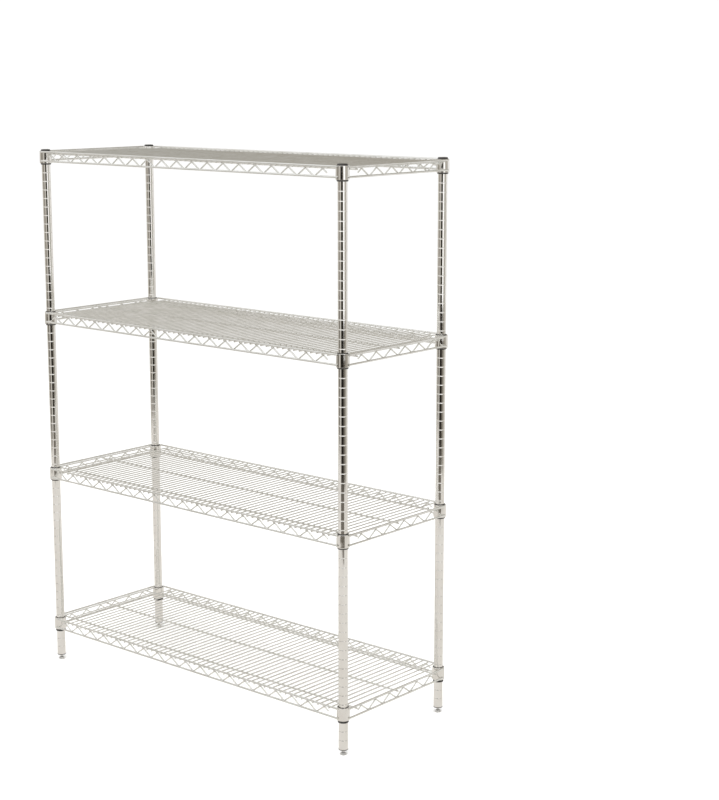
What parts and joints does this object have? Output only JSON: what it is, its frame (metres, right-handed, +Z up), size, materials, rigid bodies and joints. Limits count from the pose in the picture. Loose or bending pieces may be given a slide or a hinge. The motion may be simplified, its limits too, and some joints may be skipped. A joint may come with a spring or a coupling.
{
  "type": "wire shelving rack",
  "caption": "Free-standing chrome wire shelving rack: zigzag-braced wire shelves with corner collars on grooved posts, black split sleeves and caps, and screw levelling feet.",
  "frame": {"origin": "on the floor, below the middle of the rack", "axes": "+X along the shelves, +Y from front to rear, +Z up"},
  "size_m": [1.218, 0.458, 1.586],
  "materials": {
    "post_chrome": "bright chrome plate, fine lengthwise draw lines",
    "collar_chrome": "bright chrome plate",
    "wire_chrome": "bright chrome plate over drawn wire",
    "foot_steel": "zinc plate, satin",
    "insert_plastic": "moulded, dark grey",
    "black_plastic": "moulded, black, slight sheen"
  },
  "bodies": {
    "frame": {"front_left_post": "post_chrome", "front_left_post_cap": "black_plastic", "front_left_foot_insert": "insert_plastic", "front_right_post": "post_chrome", "front_right_post_cap": "black_plastic", "front_right_foot_insert": "insert_plastic", "rear_left_post": "post_chrome", "rear_left_post_cap": "black_plastic", "rear_left_foot_insert": "insert_plastic", "rear_right_post": "post_chrome", "rear_right_post_cap": "black_plastic", "rear_right_foot_insert": "insert_plastic", "shelf_1_sleeves": "black_plastic", "shelf_2_sleeves": "black_plastic", "shelf_3_sleeves": "black_plastic", "shelf_4_sleeves": "black_plastic"},
    "shelf_1": {"shelf_1_top_frame_rods": "wire_chrome", "shelf_1_bottom_frame_rods": "wire_chrome", "shelf_1_truss_wires": "wire_chrome", "shelf_1_mat_wires": "wire_chrome", "shelf_1_long_wires": "wire_chrome", "shelf_1_front_left_collar": "collar_chrome", "shelf_1_front_right_collar": "collar_chrome", "shelf_1_rear_left_collar": "collar_chrome", "shelf_1_rear_right_collar": "collar_chrome"},
    "shelf_2": {"shelf_2_top_frame_rods": "wire_chrome", "shelf_2_bottom_frame_rods": "wire_chrome", "shelf_2_truss_wires": "wire_chrome", "shelf_2_mat_wires": "wire_chrome", "shelf_2_long_wires": "wire_chrome", "shelf_2_front_left_collar": "collar_chrome", "shelf_2_front_right_collar": "collar_chrome", "shelf_2_rear_left_collar": "collar_chrome", "shelf_2_rear_right_collar": "collar_chrome"},
    "shelf_3": {"shelf_3_top_frame_rods": "wire_chrome", "shelf_3_bottom_frame_rods": "wire_chrome", "shelf_3_truss_wires": "wire_chrome", "shelf_3_mat_wires": "wire_chrome", "shelf_3_long_wires": "wire_chrome", "shelf_3_front_left_collar": "collar_chrome", "shelf_3_front_right_collar": "collar_chrome", "shelf_3_rear_left_collar": "collar_chrome", "shelf_3_rear_right_collar": "collar_chrome"},
    "shelf_4": {"shelf_4_top_frame_rods": "wire_chrome", "shelf_4_bottom_frame_rods": "wire_chrome", "shelf_4_truss_wires": "wire_chrome", "shelf_4_mat_wires": "wire_chrome", "shelf_4_long_wires": "wire_chrome", "shelf_4_front_left_collar": "collar_chrome", "shelf_4_front_right_collar": "collar_chrome", "shelf_4_rear_left_collar": "collar_chrome", "shelf_4_rear_right_collar": "collar_chrome"},
    "front_left_glide": {"front_left_foot_pad": "foot_steel"},
    "front_left_screw": {"front_left_foot_stem": "foot_steel"},
    "front_right_glide": {"front_right_foot_pad": "foot_steel"},
    "front_right_screw": {"front_right_foot_stem": "foot_steel"},
    "rear_left_glide": {"rear_left_foot_pad": "foot_steel"},
    "rear_left_screw": {"rear_left_foot_stem": "foot_steel"},
    "rear_right_glide": {"rear_right_foot_pad": "foot_steel"},
    "rear_right_screw": {"rear_right_foot_stem": "foot_steel"}
  },
  "joints": [
    {"name": "shelf_1_lift", "type": "slide", "parent": "frame", "child": "shelf_1", "axis": [0, 0, 1], "range_m": [0, 0.045]},
    {"name": "shelf_2_lift", "type": "slide", "parent": "frame", "child": "shelf_2", "axis": [0, 0, 1], "range_m": [0, 0.045]},
    {"name": "shelf_3_lift", "type": "slide", "parent": "frame", "child": "shelf_3", "axis": [0, 0, 1], "range_m": [0, 0.045]},
    {"name": "shelf_4_lift", "type": "slide", "parent": "frame", "child": "shelf_4", "axis": [0, 0, 1], "range_m": [0, 0.045]},
    {"name": "front_left_foot_height", "type": "slide", "parent": "frame", "child": "front_left_glide", "axis": [0, 0, -1], "range_m": [0, 0.015]},
    {"name": "front_left_foot_turn", "type": "hinge", "parent": "front_left_glide", "child": "front_left_screw", "pos_m": [-0.587, -0.207, 0.02], "axis": [0, 0, -1], "range_deg": [0, 3400]},
    {"name": "front_right_foot_height", "type": "slide", "parent": "frame", "child": "front_right_glide", "axis": [0, 0, -1], "range_m": [0, 0.015]},
    {"name": "front_right_foot_turn", "type": "hinge", "parent": "front_right_glide", "child": "front_right_screw", "pos_m": [0.587, -0.207, 0.02], "axis": [0, 0, -1], "range_deg": [0, 3400]},
    {"name": "rear_left_foot_height", "type": "slide", "parent": "frame", "child": "rear_left_glide", "axis": [0, 0, -1], "range_m": [0, 0.015]},
    {"name": "rear_left_foot_turn", "type": "hinge", "parent": "rear_left_glide", "child": "rear_left_screw", "pos_m": [-0.587, 0.207, 0.02], "axis": [0, 0, -1], "range_deg": [0, 3400]},
    {"name": "rear_right_foot_height", "type": "slide", "parent": "frame", "child": "rear_right_glide", "axis": [0, 0, -1], "range_m": [0, 0.015]},
    {"name": "rear_right_foot_turn", "type": "hinge", "parent": "rear_right_glide", "child": "rear_right_screw", "pos_m": [0.587, 0.207, 0.02], "axis": [0, 0, -1], "range_deg": [0, 3400]}
  ],
  "couplings": [
    {"joint": "front_left_foot_height", "follows": "front_left_foot_turn", "m_per_rad": 0.00025266},
    {"joint": "front_right_foot_height", "follows": "front_right_foot_turn", "m_per_rad": 0.00025266},
    {"joint": "rear_left_foot_height", "follows": "rear_left_foot_turn", "m_per_rad": 0.00025266},
    {"joint": "rear_right_foot_height", "follows": "rear_right_foot_turn", "m_per_rad": 0.00025266}
  ]
}
